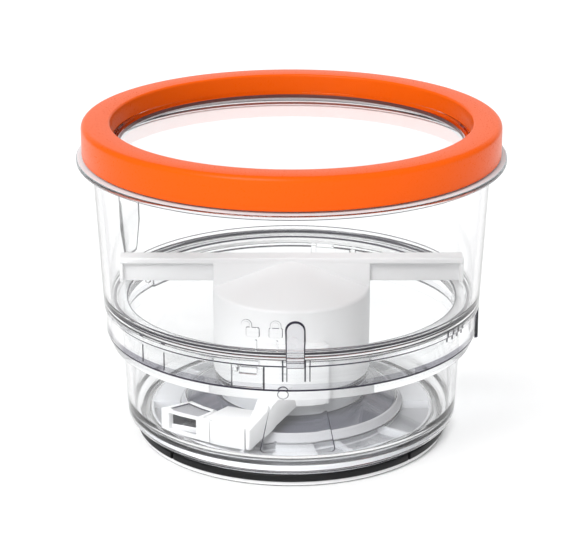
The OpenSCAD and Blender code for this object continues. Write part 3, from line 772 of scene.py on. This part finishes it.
def scraper():
    """Leg on the hub, a web out to the tip and the plough's wall and top."""
    bm = bmesh.new()
    arc_block(bm, HUB_R - 0.3, LEG_R, LEG_LOW, LEG_TOP, 2.5, 44, 16)
    root, tip = LEG_R - 1, TIP_R - 0.3
    lower = [at(-16, root, 21.8), at(5, root, 21.8), at(TIP_AZ + 2, tip, BLADE_LOW + 0.2),
             at(TIP_AZ + 0.3, tip, BLADE_LOW + 0.2)]
    upper = [at(-18, root, 31), at(2, root, 31), at(TIP_AZ + 2, tip, BLADE_TOP - 0.4),
             at(TIP_AZ + 0.3, tip, BLADE_TOP - 0.4)]
    prism(bm, lower, upper)
    wall(bm, [(TIP_AZ, TIP_R), (-23, TIP_R - 0.2), (-27, TIP_R - 0.4), (SEAM_AZ, TIP_R - 0.8)], 2,
         BLADE_LOW, BLADE_TOP - 0.05)
    slab(bm, [(TIP_AZ, TIP_R - 0.05), (-27, TIP_R - 0.5), (-34.2, TIP_R - 0.9), (-34.2, TIP_R - 3),
              (-38.8, TIP_R - 3.4), (-38.8, LEG_R + 4.4), (-28, LEG_R + 3.4), (-12, LEG_R + 2.4)],
         BLADE_TOP - 1.8, BLADE_TOP)
    new_object("scraper_plough", finish_mesh(bm, "scraper_plough", bevel=0.3), "dasher",
               ["scraper"], WHITE)


def scraper_blade():
    """Open scoop at the far end of the plough: posts, rims and end plates round a hollow whose inside is
    painted dark as painted shade.
    """
    bm = bmesh.new()
    low_in, top_in = BLADE_LOW + 0.1, BLADE_TOP - 0.1
    wall(bm, [(SEAM_AZ - 0.3, TIP_R - 0.8), (-39, TIP_R - 0.6), (-41, TIP_R - 0.4)], 2, BLADE_LOW, BLADE_TOP)
    wall(bm, [(-53.5, TIP_R + 2.7), (SCOOP_AZ, TIP_R + 3.6)], 2.2, BLADE_LOW, BLADE_TOP)
    lip = [(-40.5, TIP_R - 0.45), (-48, TIP_R + 1.2), (-54, TIP_R + 2.8)]
    wall(bm, lip, 1.6, BLADE_LOW, BLADE_LOW + 1.5)
    wall(bm, lip, 1.4, BLADE_TOP - 1.2, BLADE_TOP - 0.05)
    slab(bm, [(-39.4, TIP_R - 1.2), (-41, TIP_R - 1.0), (-41, 44.6), (-39.4, 44.4)], low_in, top_in)
    slab(bm, [(-55.6, TIP_R + 2.0), (SCOOP_AZ, TIP_R + 2.2), (SCOOP_AZ, 46), (-55.6, 45.8)], low_in, top_in)
    wall(bm, [(-39.5, 46.2), (-48, 46.8), (SCOOP_AZ + 0.1, 47.6)], 1.8, low_in, top_in)
    hollow = [(-40.5, TIP_R - 1.4), (-48, TIP_R + 0.2), (-56, TIP_R + 2.0), (-56, 46), (-40.5, 45)]
    slab(bm, hollow, low_in, BLADE_LOW + 0.9)
    slab(bm, hollow, BLADE_TOP - 1.6, BLADE_TOP - 0.9)
    wall(bm, [(-41, 51), (-55.8, 57.5)], 0.7, BLADE_LOW + 0.5, BLADE_LOW + 3.2)
    slab(bm, [(SEAM_AZ + 3, TIP_R - 3.2), (-40, TIP_R - 3), (-40, 45), (SEAM_AZ + 3, 45)],
         BLADE_TOP - 3.8, BLADE_TOP - 1.85)
    mesh = finish_mesh(bm, "scraper_scoop", bevel=0.25)
    new_object("scraper_scoop", mesh, "dasher", ["scraper_blade"], WHITE)

    def hollow_side(r, z, az, outwards):
        """Faces deep in the scoop, which get next to no light, painted near-black as painted shade."""
        back = outwards > 0.5 and r < TIP_R - 5 and z > BLADE_LOW + 2.0
        ends = abs(outwards) < 0.5 and r < TIP_R - 1 and between(304.0, az, 320.5)
        return between(303.5, az, 320.5) and z < BLADE_TOP - 0.3 and (back or ends)

    def hollow_floor(r, z, az, outwards):
        """The hollow's floor and the top of its roof, painted grey as painted shade."""
        level = z < BLADE_LOW + 1.2 or between(BLADE_TOP - 0.95, z, BLADE_TOP - 0.85)
        return between(303.5, az, 320.5) and r < TIP_R - 0.5 and level

    # Painted shade inside the scoop's hollow: near-black sides, grey floor.
    tint(mesh, PAINTED_DARK, hollow_side)
    tint(mesh, SHADE_GREY, hollow_floor)


PLAIN = {
    "bearing_housing": INSERT, "base_screws": STEEL, "lower_bush": BEARING, "upper_bush": BEARING,
    "shaft_seal": RUBBER, "bowl_seal": SILICONE, "lid_seal": SILICONE, "spindle": STEEL,
    "drive_coupling": BLACK, "coupling_pin": STEEL, "thrust_washer": BEARING, "retaining_clip": STEEL,
    "drive_insert": BLACK, "arm_screws": STEEL, "blade_pins": WHITE,
}


def plain_nodes():
    """CAD nodes whose shape is right get their material."""
    for name, look in PLAIN.items():
        node = frame["nodes"][name]
        node.data.materials.clear()
        node.data.materials.append(look)


# ---------------------------------------------------------------- stage

def world():
    """Even pale surroundings for matt surfaces. Clear and glossy ones see a white room with a dark ceiling
    and dark side screens, which draw their edges."""
    sky = bpy.data.worlds.new("studio")
    bpy.context.scene.world = sky
    sky.use_nodes = True
    nodes = sky.node_tree.nodes
    links = sky.node_tree.links
    room = nodes["Background"]
    room.inputs["Color"].default_value = (1, 1, 1, 1)
    room.inputs["Strength"].default_value = 0.8
    place = nodes.new("ShaderNodeTexCoord")
    split = nodes.new("ShaderNodeSeparateXYZ")
    links.new(place.outputs["Generated"], split.inputs["Vector"])

    def band(source, steps, absolute=True):
        value = source
        if absolute:
            size = nodes.new("ShaderNodeMath")
            size.operation = "ABSOLUTE"
            links.new(source, size.inputs[0])
            value = size.outputs["Value"]
        ramp = nodes.new("ShaderNodeValToRGB")
        ramp.color_ramp.elements[0].position, tone = steps[0]
        ramp.color_ramp.elements[0].color = (*tone, 1)
        ramp.color_ramp.elements[1].position, tone = steps[1]
        ramp.color_ramp.elements[1].color = (*tone, 1)
        for position, tone in steps[2:]:
            ramp.color_ramp.elements.new(position).color = (*tone, 1)
        links.new(value, ramp.inputs["Fac"])
        return ramp.outputs["Color"]

    white, dark = (1.0, 1.0, 1.0), (0.035, 0.03, 0.05)
    height = band(split.outputs["Z"], [(0.34, white), (0.5, dark)], absolute=False)
    side = band(split.outputs["X"], [(0.45, white), (0.75, dark)])
    both = nodes.new("ShaderNodeMix")
    both.data_type = "RGBA"
    both.blend_type = "MULTIPLY"
    both.inputs["Factor"].default_value = 1.0
    links.new(height, both.inputs["A"])
    links.new(side, both.inputs["B"])
    screens = nodes.new("ShaderNodeBackground")
    links.new(both.outputs["Result"], screens.inputs["Color"])
    path = nodes.new("ShaderNodeLightPath")
    sharp = nodes.new("ShaderNodeMath")
    sharp.operation = "MAXIMUM"
    links.new(path.outputs["Is Transmission Ray"], sharp.inputs[0])
    links.new(path.outputs["Is Glossy Ray"], sharp.inputs[1])
    first = nodes.new("ShaderNodeMixShader")
    links.new(sharp.outputs["Value"], first.inputs["Fac"])
    links.new(room.outputs["Background"], first.inputs[1])
    links.new(screens.outputs["Background"], first.inputs[2])
    inside = nodes.new("ShaderNodeBackground")
    inside.inputs["Strength"].default_value = 0.75
    after = nodes.new("ShaderNodeMath")
    after.operation = "GREATER_THAN"
    after.inputs[1].default_value = 0.5
    links.new(path.outputs["Diffuse Depth"], after.inputs[0])
    trapped = nodes.new("ShaderNodeMath")
    trapped.operation = "MULTIPLY"
    links.new(after.outputs["Value"], trapped.inputs[0])
    links.new(path.outputs["Is Transmission Ray"], trapped.inputs[1])
    second = nodes.new("ShaderNodeMixShader")
    links.new(trapped.outputs["Value"], second.inputs["Fac"])
    links.new(first.outputs["Shader"], second.inputs[1])
    links.new(inside.outputs["Background"], second.inputs[2])
    links.new(second.outputs["Shader"], nodes["World Output"].inputs["Surface"])


def stage():
    """Pale floor, a soft key from the front left, and the camera."""
    bm = bmesh.new()
    bmesh.ops.create_grid(bm, x_segments=2, y_segments=2, size=6.0)
    mesh = bpy.data.meshes.new("floor")
    bm.to_mesh(mesh)
    bm.free()
    floor = bpy.data.objects.new("floor", mesh)
    bpy.context.collection.objects.link(floor)
    floor.location.z = -0.0002
    m, nodes, links, shader = material("floor_paper")
    shader.inputs["Base Color"].default_value = (0.925, 0.925, 0.925, 1)
    shader.inputs["Roughness"].default_value = 0.7
    shader.inputs["Specular IOR Level"].default_value = 0.1
    mesh.materials.append(m)

    def sun(name, azimuth, elevation, power, angle):
        data = bpy.data.lights.new(name, "SUN")
        data.energy = power
        data.angle = math.radians(angle)
        lamp = bpy.data.objects.new(name, data)
        lamp.rotation_euler = (math.radians(90 - elevation), 0, math.radians(azimuth))
        lamp.visible_transmission = False
        bpy.context.collection.objects.link(lamp)

    sun("key", -30, 45, 2.2, 35)

    data = bpy.data.cameras.new("camera")
    data.lens = 122.57
    data.sensor_width = 36.0
    camera = bpy.data.objects.new("camera", data)
    camera.location = (-0.0006, -0.72849, 0.31965)
    camera.rotation_euler = (math.pi / 2 - 0.33721601, 0, 0)
    bpy.context.collection.objects.link(camera)
    scene = bpy.context.scene
    scene.camera = camera
    scene.view_settings.view_transform = "Standard"
    scene.cycles.max_bounces = 16
    scene.cycles.transmission_bounces = 14
    scene.cycles.transparent_max_bounces = 24


lid_ring()
lid_window()
bowl()
cup()
foot_seal()
base_insert()
hub()
mixing_arm()
scraper()
scraper_blade()
plain_nodes()
world()
stage()
